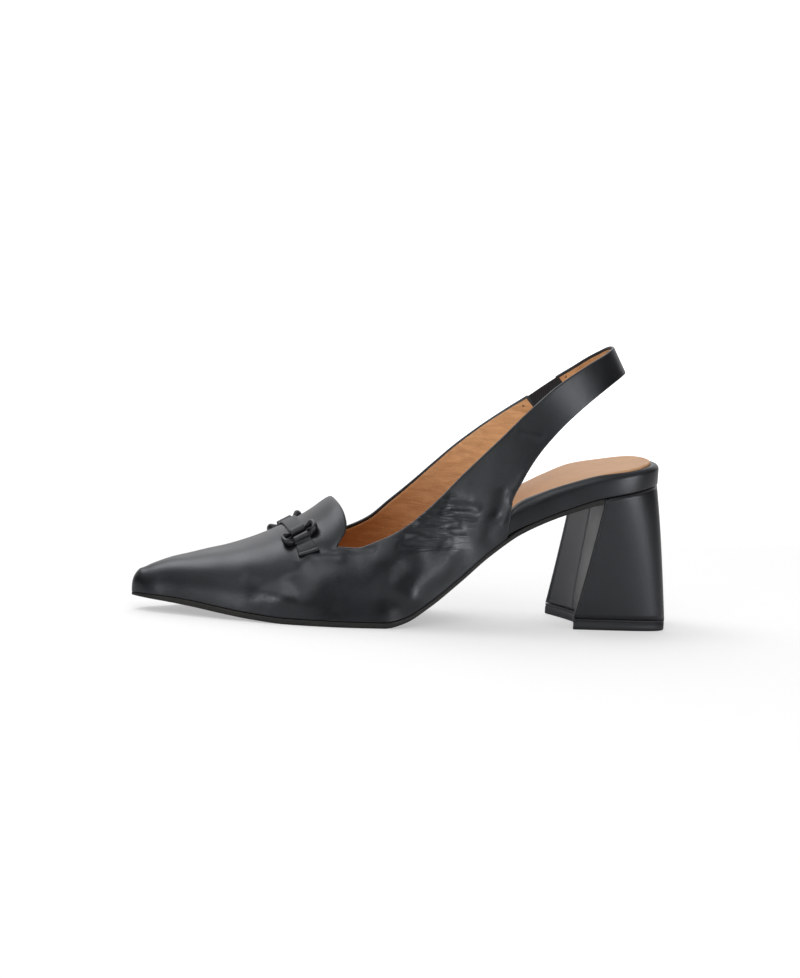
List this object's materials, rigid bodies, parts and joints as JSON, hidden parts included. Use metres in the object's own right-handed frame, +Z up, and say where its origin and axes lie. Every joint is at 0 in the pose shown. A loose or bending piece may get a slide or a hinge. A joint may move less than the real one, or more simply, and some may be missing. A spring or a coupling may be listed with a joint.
{
  "type": "slingback pump",
  "caption": "Pointed slingback pump for a left foot: loafer tongue with a ringed band, wrapped footbed, flared block heel, elastic at the inner end of the heel strap.",
  "frame": {"origin": "centre of the footprint on the floor, under the middle of the shoe's length and width", "axes": "+X from the toe to the heel, +Y to the inner side of the foot, +Z up from the floor"},
  "size_m": [0.2434, 0.074, 0.1272],
  "materials": {
    "black_leather": "smooth satin",
    "tan_leather": "smooth satin",
    "sole_leather": "matt dyed edge",
    "black_rubber": "matt",
    "black_metal": "glossy black coating",
    "black_elastic": "woven matt"
  },
  "bodies": {
    "root": {"upper": "black_leather", "insole": "tan_leather", "footbed_rim": "black_leather", "outsole": "sole_leather", "heel": "black_leather", "heel_lift": "black_rubber", "ring_outer": "black_metal", "ring_inner": "black_metal", "band": "black_leather", "tab_outer": "black_leather", "tab_inner": "black_leather", "elastic": "black_elastic"}
  },
  "joints": []
}
